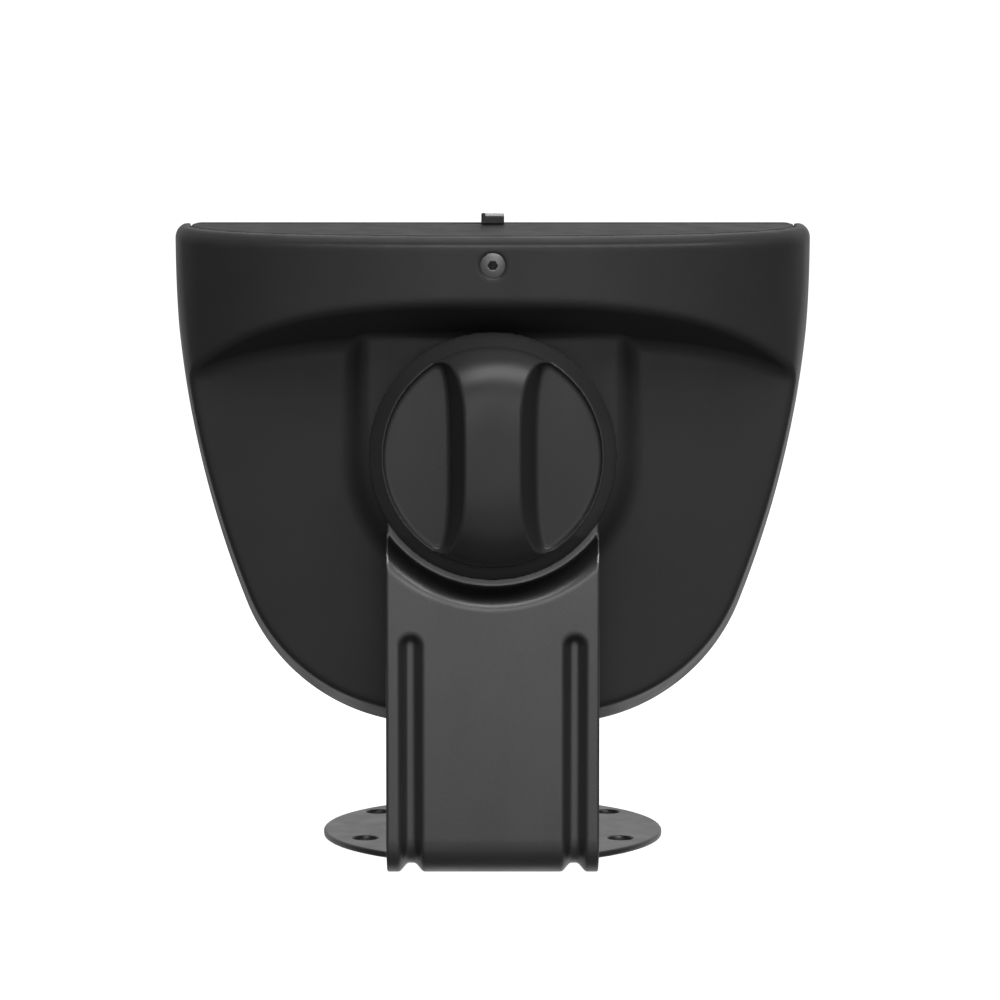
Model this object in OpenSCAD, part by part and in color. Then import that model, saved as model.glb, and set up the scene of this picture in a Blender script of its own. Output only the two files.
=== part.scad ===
// Smart display with a D-shaped head, a clamp knob and a pressed steel bracket.
// Millimetres. +Z is up, the screen faces -Y and the back of the head faces +Y.
// The origin is the centre of the base disc's underside.

/* [Head outline] */
// Full width of the head
head_w = 161.9; // [158:0.1:164]
// Height of the straight top edge above the base
head_top = 161.6; // [160.6:0.1:162.6]
// Radius of the long side curve
side_r = 261; // [250:1:270]
// Radius of the two lower corners
corner_r = 49.5; // [47:0.1:52]
// Angle at which the side curve meets the lower corner
corner_from = 21.4; // [20.4:0.1:22.4]

/* [Head depth] */
// Front face of the screen
front_y = 22; // [21.5:0.1:22]
// Front rim of the rear shell
rim_y = 24; // [23.8:0.1:24.5]
// Rear face of the hood, at its middle
hood_y = 66; // [65:0.5:67]
// Rear face of the lower panel, at its middle under the hood
panel_y = 48; // [47.5:0.1:48.3]
// Rear face of the raised pad
pad_y = 50.9; // [50.5:0.1:51]
// Lean of the lower panel, in degrees
panel_lean = 2; // [1.5:0.1:2.5]
// Wall thickness of the mouldings
wall = 2.4; // [2:0.1:2.6]

/* [Hood] */
// Height of the hood's lip, at its middle
lip_z = 140.1; // [139.5:0.1:141]
// How far the lip droops towards the sides
lip_droop = 5.9; // [4:0.1:7]
// Slope of the hood's underside, in degrees
soffit_tilt = 24.8; // [23:0.1:26]
// Fall of the top cover towards the back, in degrees
top_tilt = 7.4; // [6.5:0.1:8]

/* [Clamp] */
// Height of the clamp knob's axis
knob_z = 103.5; // [103:0.1:104]
// Outer radius of the knob
knob_r = 30.7; // [29.5:0.1:31]
// Radius of the finger scoops' outer edge
scoop_r = 26.5; // [26:0.1:27]
// Half the width of the grip at its waist
grip_half = 6.7; // [6:0.1:8]
// Radius of the clamp stud
stud_r = 4; // [3.5:0.1:4.2]

/* [Bracket] */
// Thickness of the steel sheet
sheet = 1.6; // [1.5:0.1:1.8]
// Radius of the base disc
disc_r = 45; // [44:0.5:48]
// Width of the arm
arm_w = 52.2; // [50:0.2:54]
// Rear face of the arm
arm_y = 62; // [61.5:0.1:62.5]
// Outer radius of the bend between arm and foot
bend_r = 9.5; // [9:0.1:10.5]
// Distance of each rib from the middle
rib_x = 20.2; // [19.5:0.1:20.6]
// Radius of the screw holes in the base disc
hole_r = 3.3; // [3:0.1:3.6]

/* [Screen] */
// Width of the display module
lcd_w = 112; // [108:0.5:113]
// Height of the display module
lcd_h = 70; // [66:0.5:70]
// Top of the display module
lcd_top = 150; // [149:0.1:150.5]

/* [Shutter] */
// Sideways travel of the camera shutter
shutter_travel = 8; // [7:0.1:8]
// Half the width of the shutter's tab
tab_half = 2.9; // [2.5:0.1:3.2]

/* [Hidden] */
$fn = 96;
e = 0.01;
half_w = head_w / 2;
side_z = 160;
corner_x = half_w - side_r + (side_r - corner_r) * cos(corner_from);
corner_z = side_z - (side_r - corner_r) * sin(corner_from);
head_bottom = corner_z - corner_r;
// the wall leans in by this much at the sides and by this much more at the bottom
side_draft = 3;
bottom_draft = 3.8;
crown_r = 690;
plan_power = 2.4;
bevel_w = 3.8;
bevel_side = 2.2;
bevel_h = 2.3;
lid_half = 76.4;
lid_gap = 0.2;
lid_t = 2;
ledge_t = 2;
lug_y = 50;

// the ball seat: every shell of it has this one centre
seat_y = arm_y + 13.7;
bowl_in = 26;
bowl_out = bowl_in + sheet;
dish_depth = 6;
dish_floor_r = 32.1;
dish_edge_r = 35.65;
seat_r = 17;
tongue_r = 25;
ring_in = bowl_out + 0.3;
ring_out = ring_in + 2;
cup_r = ring_out + 0.3;
washer_out = bowl_in - 0.3;
washer_in = washer_out - 1.2;
boss_ball_r = washer_in - 0.3;
stud_hole_r = 8.3;
stud_front = 38.6;
insert_front = 38;

// ribs pressed into the arm
rib_top = 57;
rib_half = 3.3;
rib_floor = 0.9;
rib_deep = 2.2;
rib_inner = 1.3;
rib_foot = 16;

boss_front = 37.5;
boss_r = 21;
insert_r = 6;

camera_z = 154.6;
glass_low = 76.6;
speaker_z = 57;
screw_z = 149.6;
usb_y = 33.4;
usb_z = head_bottom + 2.8;
blade_y = 25;
blade_t = 0.7;
tab_y = 24.2;
tab_d = 4.6;
tab_base = 161.75;
tab_gap = 0.2;
tab_top = 163.7;
cap_t = 0.9;

board_y = 31;
board_t = 1.6;
board_w = 96;
board_low = 86;
flex_half = 14;
board_high = 142;

// ---- helpers ----

function arc(c, r, a0, a1, n) = [for (i = [0:n]) c + r * [cos(a0 + (a1 - a0) * i / n), sin(a0 + (a1 - a0) * i / n)]];

function mirrored(right) = concat(right, [for (i = [len(right) - 1:-1:0]) [-right[i].x, right[i].y]]);

// front view of the head, drawn inwards by d, with its foot lifted and its top at top
function outline(d, top, lift = 0) =
    let (c = 3.4)
    let (shoulder = asin((top - c - side_z) / (side_r - d)))
    let (right = concat(
        arc([half_w - d - c, top - c], c, 90, 15, 5),
        arc([half_w - side_r, side_z], side_r - d, shoulder, -corner_from, 14),
        arc([corner_x, corner_z], corner_r - d, -corner_from - 5, -90, 12)))
    mirrored([for (p = right) [p.x, p.y + lift * (top - p.y) / (top - head_bottom)]]);

// plan of the head: straight across the front, bulged at the back
function plan(half, back, front) =
    let (depth = back - rim_y - 2)
    let (bulge = [for (i = [0:28]) let (a = 90 * i / 28) [
        half * pow(cos(a), 2 / plan_power), rim_y + 2 + depth * pow(sin(a), 2 / plan_power)]])
    let (right = concat([[half, front]], bulge))
    mirrored(right);

// height of the hood's lip at a distance x from the middle
function lip(x) = lip_z - lip_droop * pow(x / 72, 4);

// height of the top cover's surface at a depth y
function top_at(y) = head_top - (y - front_y) * tan(top_tilt);

// a front-view shape, made solid from depth y0 to y1
module slab(y0, y1) {
    translate([0, y1, 0]) rotate([90, 0, 0]) linear_extrude(y1 - y0) children();
}

// a round bar along Y
module rod(x, z, y0, y1, r, fn = $fn) {
    translate([x, y0, z]) rotate([-90, 0, 0]) cylinder(h = y1 - y0, r = r, $fn = fn);
}

// a cone along Y
module taper(x, z, y0, y1, r0, r1) {
    translate([x, y0, z]) rotate([-90, 0, 0]) cylinder(h = y1 - y0, r1 = r0, r2 = r1);
}

// a box from its two corners
module block(low, high) {
    translate(low) cube(high - low);
}

// the same box on both sides of the middle, or one that spans it
module wide_block(half, y0, y1, z0, z1) {
    block([-half, y0, z0], [half, y1, z1]);
}

// a ball about the seat's centre
module seat_ball(r) {
    translate([0, seat_y, knob_z]) sphere(r = r);
}

// everything in front of a line through the lid's surface, lowered by drop
module under_top(drop, thick = 200) {
    translate([0, front_y, head_top - drop]) rotate([-top_tilt, 0, 0])
        translate([-100, -40, -thick]) cube([200, 140, thick]);
}

// ---- head mouldings ----

// body of the head below the hood, drawn in by w
module lower_body(w, front) {
    intersection() {
        hull() {
            slab(front, rim_y + 4) polygon(outline(w, head_top - 0.9 - w));
            slab(panel_y, panel_y + 1) polygon(outline(side_draft + w, head_top - 0.9 - w, bottom_draft));
        }
        translate([0, panel_y - crown_r - w, lip_z - 8]) rotate([-panel_lean, 0, 0])
            cylinder(h = 400, r = crown_r, center = true, $fn = 360);
    }
}

// body of the head above the hood's underside, drawn in by w
module hood_body(w, front) {
    rise = w / cos(soffit_tilt);
    arch = [for (i = [-16:16]) let (x = 5.4 * i) [x, (lip(x) + rise) * cos(soffit_tilt)]];
    // the side walls lean in at the same rate as the lower body's
    far_draft = side_draft * (hood_y - rim_y - 4) / (panel_y - rim_y - 4);
    intersection() {
        hull() {
            slab(front, rim_y + 4) polygon(outline(w, head_top));
            slab(hood_y, hood_y + 1) polygon(outline(far_draft + w, head_top));
        }
        translate([0, hood_y, 0]) rotate([soffit_tilt, 0, 0]) slab(-60, 160)
            polygon(concat(arch, [[86.4, 260], [-86.4, 260]]));
    }
}

// upright walls of the head's plan, with the sloping top and its bevel
module top_form(w, front) {
    hull() {
        intersection() {
            linear_extrude(200) polygon(plan(half_w - w - bevel_side, hood_y - w - bevel_w, front));
            under_top(w);
        }
        intersection() {
            linear_extrude(200) polygon(plan(half_w - w, hood_y - w, front));
            under_top(w + bevel_h);
        }
    }
}

module head_form(w, front) {
    intersection() {
        union() {
            lower_body(w, front);
            hood_body(w, front);
        }
        top_form(w, front);
    }
}

// outline of the raised pad round the clamp
module pad_shape(half) {
    translate([0, knob_z]) circle(r = half);
    translate([-half, knob_z]) square([2 * half, 34]);
}

module pad_body() {
    hull() {
        slab(panel_y - 3, panel_y - 1) pad_shape(35.4);
        slab(pad_y - e, pad_y) pad_shape(31.8);
    }
}

module lid_shape(gap) {
    polygon(plan(lid_half + gap, hood_y - bevel_w - 5 + gap, rim_y + 0.6));
}

module rear_shell() {
    color("#303030") difference() {
        union() {
            difference() {
                union() {
                    head_form(0, rim_y);
                    pad_body();
                }
                // the wall is thicker at the top, where the cover rests on its edge
                intersection() {
                    head_form(wall, rim_y - 4);
                    under_top(lid_t + ledge_t);
                }
            }
            rod(0, knob_z, boss_front, pad_y - 3, boss_r);
        }
        // ball cup, insert and stud clearance
        seat_ball(cup_r);
        rod(0, knob_z, insert_front, 47, insert_r);
        rod(0, knob_z, boss_front - 1, insert_front + 1, stud_r + 0.6);
        // seat of the top cover, and the opening under it
        intersection() {
            linear_extrude(200) lid_shape(lid_gap);
            difference() {
                under_top(-5);
                under_top(lid_t + 0.1);
            }
        }
        translate([0, 0, screw_z]) linear_extrude(30) polygon(plan(lid_half - 2.4, hood_y - bevel_w - 8, rim_y - 4));
        // screw through the back of the hood
        rod(0, screw_z, hood_y - 6, hood_y + 1, 1.7);
        rod(0, screw_z, hood_y - 1.1, hood_y + 1, 3.35);
        // inlet opening in the bottom
        wide_block(4.9, usb_y - 2, usb_y + 2, head_bottom - 2, head_bottom + 10);
    }
}

module front_bezel() {
    frame_back = 24.5;
    color("#1c1c1c") difference() {
        union() {
            intersection() {
                slab(front_y, frame_back) polygon(outline(3.3, head_top));
                under_top(0);
            }
            // skirt inside the rear shell
            difference() {
                slab(frame_back - e, 31) polygon(outline(3.7, head_top - 5));
                slab(frame_back - 1, 32) polygon(outline(5.4, head_top - 7));
                block([-90, 24.6, head_top - 12], [90, 40, head_top + 2]);
            }
            for (p = frame_screw_points()) rod(p.x, p.y, frame_back - e, 27.4, 2.4);
            for (p = speaker_screw_points()) rod(p.x, p.y, frame_back - e, 26.8, 2.4);
        }
        glass_cut(front_y - 1, 23.7, 0.15);
        block([-lcd_w / 2 - 0.6, 20, lcd_top - lcd_h - 0.6], [lcd_w / 2 + 0.6, 26, lcd_top + 0.6]);
        rod(0, camera_z, 20, 26, 2.6);
        rod(0, speaker_z, 20, 26, 15);
        rod(0, speaker_z, 20, 23.4, 16.2);
        for (p = frame_screw_points()) rod(p.x, p.y, 25.2, 28, 1);
        for (p = speaker_screw_points()) rod(p.x, p.y, 25.2, 28, 0.9);
        // way out for the display's ribbon, behind the glass
        wide_block(flex_half + 1, 23.5, 26, glass_low + 0.3, lcd_top - lcd_h);
        // the rim of the rear shell passes over the top of the plate
        wide_block(90, rim_y, 26, head_top - lid_t - ledge_t - 0.4, head_top + 1);
        // room for the shutter blade
        block([-6, rim_y + 0.1, lcd_top + 0.6], [shutter_travel + 6, 25, head_top + 1]);
    }
}

function frame_screw_points() = [for (s = [-1, 1], p = [[61, 146], [59.4, 92]]) [s * p.x, p.y]];
function speaker_screw_points() = [for (s = [-1, 1], t = [-1, 1]) [s * 15.2, speaker_z + t * 12.4]];

module glass_cut(y0, y1, gap) {
    slab(y0, y1) intersection() {
        polygon(outline(5.6 - gap, head_top - 2 + gap));
        translate([-90, glass_low - gap]) square([180, 100]);
    }
}

module cover_glass() {
    color("#08090a") glass_cut(front_y, 23.5, 0);
}

module top_cover() {
    color("#343434") {
        difference() {
            intersection() {
                linear_extrude(200) lid_shape(0);
                difference() {
                    under_top(0);
                    under_top(lid_t);
                }
            }
            // slot for the shutter's stem
            block([-2.4, blade_y - 0.4, 150], [shutter_travel + 2.4, blade_y + blade_t + 0.4, 170]);
        }
        // lug that the screw in the hood pulls on
        difference() {
            union() {
                wide_block(4.5, lug_y, lug_y + 3.6, screw_z - 3.4, top_at(lug_y) - lid_t + 0.3);
                wide_block(4.5, lug_y, hood_y - 5.5, screw_z - 3.4, screw_z + 2.6);
            }
            rod(0, screw_z, lug_y + 2, hood_y, 1.25);
        }
    }
}

module top_screw() {
    color("#6a6a6a") difference() {
        union() {
            rod(0, screw_z, hood_y - 1.1, hood_y + 0.3, 3.2);
            rod(0, screw_z, lug_y + 4, hood_y - 1, 1.25);
        }
        rod(0, screw_z, hood_y - 0.9, hood_y + 1, 1.3, fn = 6);
    }
}

module bezel_gasket() {
    color("#2a2a2a") difference() {
        slab(25, 27) polygon(outline(2.5, head_top - 5));
        slab(24, 28) polygon(outline(3.6, head_top - 6));
        block([-90, 20, head_top - 14], [90, 40, head_top + 2]);
    }
}

module threaded_insert() {
    color("#b08d3c") difference() {
        rod(0, knob_z, insert_front, 45, insert_r);
        rod(0, knob_z, insert_front - 1, 47, stud_r + 0.05);
        for (y = [40, 42.5]) difference() {
            rod(0, knob_z, y, y + 0.8, insert_r + 1);
            rod(0, knob_z, y - 1, y + 2, insert_r - 0.5);
        }
    }
}

// ---- screen and electronics ----

module lcd_panel() {
    color("#101418") wide_block(lcd_w / 2, 23.5, 25, lcd_top - lcd_h, lcd_top);
}

module backlight() {
    color("#d8dcde") wide_block(lcd_w / 2, 25, 27.2, lcd_top - lcd_h, lcd_top);
}

module lcd_frame() {
    color("#9a9ea2") difference() {
        union() {
            wide_block(lcd_w / 2 + 1.5, 27.4, 28.6, lcd_top - lcd_h - 0.6, lcd_top + 0.6);
            for (p = frame_screw_points()) rod(p.x, p.y, 27.4, 28.6, 4.4);
            for (p = board_screw_points()) rod(p.x, p.y, 28.5, board_y, 2.6);
        }
        for (p = frame_screw_points()) rod(p.x, p.y, 27, 29, 1.2);
        for (p = board_screw_points()) rod(p.x, p.y, 28.8, board_y + 1, 1);
    }
}

function board_screw_points() =
    [for (s = [-1, 1], z = [board_low + 4, board_high - 4]) [s * (board_w / 2 - 4), z]];

// pan-head screws whose heads rest on depth y
module screws(points, y, tip, shank, head) {
    color("#8c8f92") for (p = points) difference() {
        union() {
            rod(p.x, p.y, y, y + 1.2, head);
            rod(p.x, p.y, tip, y + 0.1, shank);
        }
        rod(p.x, p.y, y + 0.4, y + 2, head * 0.45, fn = 6);
    }
}

module frame_screws() {
    screws(frame_screw_points(), 28.6, 25.3, 1, 2);
}

module board_screws() {
    screws(board_screw_points(), board_y + board_t, 29, 1, 1.9);
}

module main_board() {
    color("#1d5a34") difference() {
        wide_block(board_w / 2, board_y, board_y + board_t, board_low, board_high);
        for (p = board_screw_points()) rod(p.x, p.y, board_y - 1, board_y + 3, 1.2);
    }
}

module shield_can() {
    top = board_y + board_t;
    color("#b8bcc0") difference() {
        block([-40, top, 112], [-2, top + 2.4, 136]);
        block([-39.6, top - 1, 112.4], [-2.4, top + 2, 135.6]);
    }
}

module heat_spreader() {
    color("#50545a") block([-40, board_y + board_t + 2.4, 110], [-2, board_y + board_t + 3.4, 138]);
}

module board_connectors() {
    top = board_y + board_t;
    color("#e8e4da") {
        block([-16, top, 88.5], [16, top + 2, 92]);
        block([-4, top, 137.6], [4, top + 1.2, 140.6]);
        block([20, top, 88.5], [28, top + 3, 93]);
        block([32, top, 126], [40, top + 1.4, 134]);
    }
}

module camera_module() {
    color("#15181b") difference() {
        union() {
            wide_block(4.2, 28, 32.7, lcd_top + 0.9, camera_z + 3);
            rod(0, camera_z, 26.2, 28 + e, 3);
        }
        rod(0, camera_z, 26, 27.4, 2.2);
    }
}

module camera_lens() {
    color("#2a3550") intersection() {
        rod(0, camera_z, 26.2, 27.4, 2.2);
        translate([0, 29.4, camera_z]) sphere(r = 3.1);
    }
}

module mic_board() {
    color("#1d5a34") {
        block([-34, 24.7, 153], [-18, 25.5, 158]);
        block([-28, 25.5, 154], [-24, 26.6, 157]);
    }
}

module wifi_antenna() {
    color("#c8a24a") {
        block([16, 46, 143], [48, 46.3, 151]);
        block([30, 46.3, 145], [34, 46.8, 149]);
    }
}

module display_flex() {
    under = lcd_top - lcd_h - 2.6;
    back = board_y + board_t + 2;
    color("#b0702c") {
        wide_block(flex_half, 24, 24.2, under, lcd_top - lcd_h);
        wide_block(flex_half, 24, back + 0.2, under - 0.2, under);
        wide_block(flex_half, back, back + 0.2, under, 90);
    }
}

module camera_flex() {
    color("#b0702c") {
        wide_block(3, 33.8, 34, 138, 156);
        wide_block(3, 32.7, 34, 156, 156.2);
    }
}

module speaker_leads() {
    color("#a02020") for (x = [22.5, 25.5]) {
        translate([x, 34.2, 66]) cylinder(h = 22.5, r = 0.6, $fn = 24);
        translate([12, 34.2, 66]) rotate([0, 90, 0]) cylinder(h = x - 12, r = 0.6, $fn = 24);
    }
}

// ---- speaker and inlet ----

module speaker_grille() {
    pitch = 3;
    color("#202224") difference() {
        rod(0, speaker_z, 22.3, 23.4, 16.2);
        for (row = [-4:4], col = [-4:4]) {
            p = [pitch * (col + row / 2), pitch * 0.866 * row];
            if (norm(p) < 13.6) rod(p.x, speaker_z + p.y, 22, 24, 0.9, fn = 24);
        }
    }
}

module speaker_basket() {
    color("#2b2d30") difference() {
        union() {
            intersection() {
                rod(0, speaker_z, 26.8, 28, 22);
                wide_block(18.4, 26, 29, speaker_z - 15.8, speaker_z + 15.8);
            }
            taper(0, speaker_z, 28 - e, 35, 15.6, 11);
        }
        taper(0, speaker_z, 26, 34, 14.8, 10);
        rod(0, speaker_z, 30, 36, 5);
        for (p = speaker_screw_points()) rod(p.x, p.y, 26, 29, 1.1);
    }
}

module speaker_cone() {
    color("#3a3d40") difference() {
        union() {
            taper(0, speaker_z, 27, 32.6, 13.8, 5.6);
            rod(0, speaker_z, 32, 34.8, 4.6);
        }
        taper(0, speaker_z, 26.4, 31.8, 13.6, 4.8);
        rod(0, speaker_z, 31, 36, 4.1);
    }
}

module speaker_magnet() {
    color("#77797c") {
        rod(0, speaker_z, 35, 39, 12);
        rod(0, speaker_z, 39, 40.6, 10.5);
        rod(0, speaker_z, 32.4, 35 + e, 3.7);
    }
}

module speaker_screws() {
    screws(speaker_screw_points(), 28, 25.4, 0.9, 1.8);
}

module usb_board() {
    color("#1d5a34") wide_block(8, usb_y + 1.7, usb_y + 2.7, usb_z + 3.2, usb_z + 8.4);
}

module usb_socket() {
    color("#a4a8ac") difference() {
        slab_up(usb_z, usb_z + 7.3) long_hole(6, 1.6);
        slab_up(usb_z - 1, usb_z + 6.3) long_hole(6, 1.3);
    }
    color("#1a1a1a") wide_block(3.2, usb_y - 0.35, usb_y + 0.35, usb_z + 1, usb_z + 6.4);
}

// a slot shape of a given length between the centres of its round ends
module long_hole(length, r) {
    square([length, 2 * r], center = true);
    for (s = [-1, 1]) translate([s * length / 2, 0]) circle(r = r, $fn = 32);
}

// a plan shape centred on the inlet, made solid from height z0 to z1
module slab_up(z0, z1) {
    translate([0, usb_y, z0]) linear_extrude(z1 - z0) children();
}

// ---- bracket ----

// section of one rib, drawn in from the sheet's outer face by the given depths
module rib_section(half, floor_half, deep) {
    polygon([[-half, 0.5], [half, 0.5], [half, 0], [floor_half, -deep], [-floor_half, -deep], [-half, 0]]);
}

// a rib's section carried up the arm, round the bend and along the foot
module rib_run(x, half, floor_half, deep) {
    top = rib_top - bend_r;
    translate([x, arm_y, bend_r]) linear_extrude(top) rib_section(half, floor_half, deep);
    translate([x, arm_y - bend_r, bend_r]) rotate([0, 90, 0]) rotate([0, 0, 90])
        mirror([0, 1, 0]) rotate_extrude(angle = 90)
            translate([bend_r, 0]) rotate(-90) rib_section(half, floor_half, deep);
    translate([x, arm_y - bend_r, 0]) rotate([90, 0, 0]) linear_extrude(rib_foot)
        mirror([0, 1]) rib_section(half, floor_half, deep);
    taper(x, rib_top, arm_y - deep, arm_y, floor_half, half);
}

module dish() {
    slope = atan((dish_depth) / (dish_edge_r - dish_floor_r));
    back = sheet * tan(slope / 2);
    ring = [
        [seat_r - 0.8, -dish_depth], [dish_floor_r, -dish_depth], [dish_edge_r, 0], [dish_edge_r + 1, 0],
        [dish_edge_r + 1, -sheet], [dish_edge_r - back, -sheet],
        [dish_floor_r - back, -dish_depth - sheet], [seat_r - 0.8, -dish_depth - sheet]
    ];
    difference() {
        union() {
            translate([0, arm_y, knob_z]) rotate([-90, 0, 0]) rotate_extrude() polygon(ring);
            intersection() {
                seat_ball(bowl_out);
                rod(0, knob_z, arm_y - 20, arm_y - dish_depth, seat_r + 3);
            }
        }
        seat_ball(bowl_in);
        rod(0, knob_z, arm_y - 20, arm_y, stud_hole_r);
    }
}

module bracket() {
    color("#505050") difference() {
        union() {
            cylinder(h = sheet, r = disc_r, $fn = 128);
            block([-arm_w / 2, 0, 0], [arm_w / 2, arm_y - bend_r, sheet]);
            intersection() {
                translate([-arm_w / 2, arm_y - bend_r, bend_r]) rotate([0, 90, 0]) difference() {
                    cylinder(h = arm_w, r = bend_r);
                    translate([0, 0, -1]) cylinder(h = arm_w + 2, r = bend_r - sheet);
                }
                block([-50, arm_y - bend_r, -1], [50, arm_y + 1, bend_r]);
            }
            difference() {
                block([-arm_w / 2, arm_y - sheet, bend_r], [arm_w / 2, arm_y, knob_z]);
                rod(0, knob_z, arm_y - 5, arm_y + 5, dish_edge_r + 0.5);
            }
            intersection() {
                dish();
                union() {
                    rod(0, knob_z, 30, 70, tongue_r);
                    block([-arm_w / 2, 30, 0], [arm_w / 2, 70, knob_z - 8.4]);
                }
            }
            for (s = [-1, 1]) intersection() {
                rib_run(s * rib_x, rib_half + 0.9, rib_floor + 0.8, rib_deep + rib_inner);
                block([-40, 20, 0], [40, arm_y, 90]);
            }
        }
        for (s = [-1, 1]) rib_run(s * rib_x, rib_half, rib_floor, rib_deep);
        for (p = base_holes()) translate([p.x, p.y, -1]) cylinder(h = sheet + 2, r = hole_r, $fn = 48);
    }
}

function base_holes() = [for (s = [-1, 1], p = [[31.5, -23], [33.3, 16.4]]) [s * p.x, p.y]];

// ---- clamp ----

module thrust_washer() {
    color("#c8c4b8") difference() {
        intersection() {
            seat_ball(washer_out);
            rod(0, knob_z, 40, 60, 13);
        }
        seat_ball(washer_in);
        rod(0, knob_z, 30, 70, stud_r + 3.2);
    }
}

module friction_ring() {
    color("#3c3c3c") difference() {
        intersection() {
            seat_ball(ring_out);
            rod(0, knob_z, 40, 53, 14.5);
        }
        seat_ball(ring_in);
        rod(0, knob_z, 30, 70, stud_r + 4.5);
    }
}

module knob() {
    rim_y0 = 60.5;
    rim_y1 = 62.6;
    rim_y2 = 65.6;
    rim_draft = 1.3;
    floor_y = 64.6;
    crest_y = 75;
    dome_h = 7.9;
    dome_power = 5;
    waist_r = 70;
    flank = 3.7;
    edge_r = scoop_r + 0.4;
    dome = [for (i = [16:-1:0]) let (r = edge_r * i / 16) [r, crest_y - dome_h * pow(r / scoop_r, dome_power)]];
    color("#262626") difference() {
        union() {
            taper(0, knob_z, rim_y0, rim_y1, knob_r, knob_r - rim_draft);
            taper(0, knob_z, rim_y1 - e, rim_y2, knob_r - rim_draft, edge_r);
            translate([0, 0, knob_z]) rotate([-90, 0, 0]) rotate_extrude()
                polygon(concat([[0, rim_y1 - e], [edge_r, rim_y1 - e]], dome));
            intersection() {
                rod(0, knob_z, 48, rim_y0 + e, 12.5);
                seat_ball(boss_ball_r);
            }
        }
        // two finger scoops with sloping sides
        for (s = [-1, 1]) intersection() {
            rod(0, knob_z, floor_y, crest_y + 2, scoop_r);
            taper(s * (grip_half + flank + waist_r), knob_z, floor_y, crest_y, waist_r, waist_r + flank);
        }
        // pocket of the clamp stud
        rod(0, knob_z, 40, 68, stud_r);
        rod(0, knob_z, 63, 68, 7, fn = 6);
    }
}

module knob_stud() {
    color("#8c8f92") {
        rod(0, knob_z, stud_front, 68, stud_r);
        rod(0, knob_z, 63, 68, 7, fn = 6);
    }
}

// ---- camera shutter ----

module shutter_slider() {
    color("#141414") difference() {
        union() {
            wide_block(5, blade_y, blade_y + blade_t, 151, 158.6);
            wide_block(2, blade_y, blade_y + blade_t, 158, tab_base + 0.5);
            difference() {
                wide_block(tab_half, tab_y, tab_y + tab_d, tab_base - 1, tab_top);
                under_top(-tab_gap);
            }
        }
        block([-tab_half - 1, tab_y + 1, tab_top - cap_t], [tab_half - 1, tab_y + tab_d + 1, tab_top + 1]);
    }
}

module slider_cap() {
    color("#bdbdbd") block([-tab_half, tab_y + 1, tab_top - cap_t], [tab_half - 1, tab_y + tab_d, tab_top]);
}

bracket();
thrust_washer();
friction_ring();
rear_shell();
front_bezel();
top_cover();
top_screw();
bezel_gasket();
threaded_insert();
cover_glass();
lcd_panel();
backlight();
lcd_frame();
frame_screws();
main_board();
board_screws();
shield_can();
heat_spreader();
board_connectors();
camera_module();
camera_lens();
mic_board();
wifi_antenna();
display_flex();
camera_flex();
speaker_leads();
speaker_grille();
speaker_basket();
speaker_cone();
speaker_magnet();
speaker_screws();
usb_board();
usb_socket();
knob();
knob_stud();
shutter_slider();
slider_cap();
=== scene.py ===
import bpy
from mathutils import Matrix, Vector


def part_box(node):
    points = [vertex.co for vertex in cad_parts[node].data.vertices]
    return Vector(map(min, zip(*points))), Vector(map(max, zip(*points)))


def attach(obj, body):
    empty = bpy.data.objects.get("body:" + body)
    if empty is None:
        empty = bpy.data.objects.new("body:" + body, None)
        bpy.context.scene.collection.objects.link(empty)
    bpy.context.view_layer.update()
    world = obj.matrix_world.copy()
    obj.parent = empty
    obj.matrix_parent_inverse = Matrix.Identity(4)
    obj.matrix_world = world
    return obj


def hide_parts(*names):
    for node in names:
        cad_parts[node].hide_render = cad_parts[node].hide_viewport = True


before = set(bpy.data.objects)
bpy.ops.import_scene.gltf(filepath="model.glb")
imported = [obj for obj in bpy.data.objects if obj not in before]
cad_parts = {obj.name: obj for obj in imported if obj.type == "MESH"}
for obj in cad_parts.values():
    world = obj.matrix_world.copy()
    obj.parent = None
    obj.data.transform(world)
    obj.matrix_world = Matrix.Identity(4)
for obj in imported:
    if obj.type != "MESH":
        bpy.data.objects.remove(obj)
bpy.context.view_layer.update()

import math

import bpy
import numpy as np
import openvdb
from mathutils import Vector

# ---- camera, at the photograph's viewing angle ----
camera_data = bpy.data.cameras.new("camera")
camera_data.sensor_width = 36
camera_data.lens = 100.8
camera_data.shift_x = 0.0073
camera_data.clip_start, camera_data.clip_end = 0.05, 20
camera = bpy.data.objects.new("camera", camera_data)
camera.location = (0, 0.741, 0.13626)
camera.rotation_euler = (math.radians(90 - 3.649), 0, math.radians(180))
bpy.context.scene.collection.objects.link(camera)
bpy.context.scene.camera = camera

# ---- places and driving sizes, in millimetres, from the frame ----
MM = 1000.0


def box(node):
    low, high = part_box(node)
    return np.array(low) * MM, np.array(high) * MM


shell_low, shell_high = box("rear_shell")
bezel_low, bezel_high = box("front_bezel")
lid_low, lid_high = box("top_cover")
knob_low, knob_high = box("knob")
arm_low, arm_high = box("bracket")
screw_low, screw_high = box("top_screw")
slider_low, slider_high = box("shutter_slider")
cap_low, cap_high = box("slider_cap")
insert_low = box("threaded_insert")[0]

HALF_W, TOP_Z = shell_high[0], bezel_high[2]
FRONT_Y, RIM_Y, HOOD_Y = bezel_low[1], shell_low[1], shell_high[1]
PANEL_Y, PAD_Y = RIM_Y + 24, RIM_Y + 26.9
KNOB_Z = (knob_low[2] + knob_high[2]) / 2
SCREW_Z = (screw_low[2] + screw_high[2]) / 2
ARM_Y = 62.0  # the arm's flat back face
SHEET, WALL = 1.6, 2.4


# ---- shapes as distance fields, in millimetres ----

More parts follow.
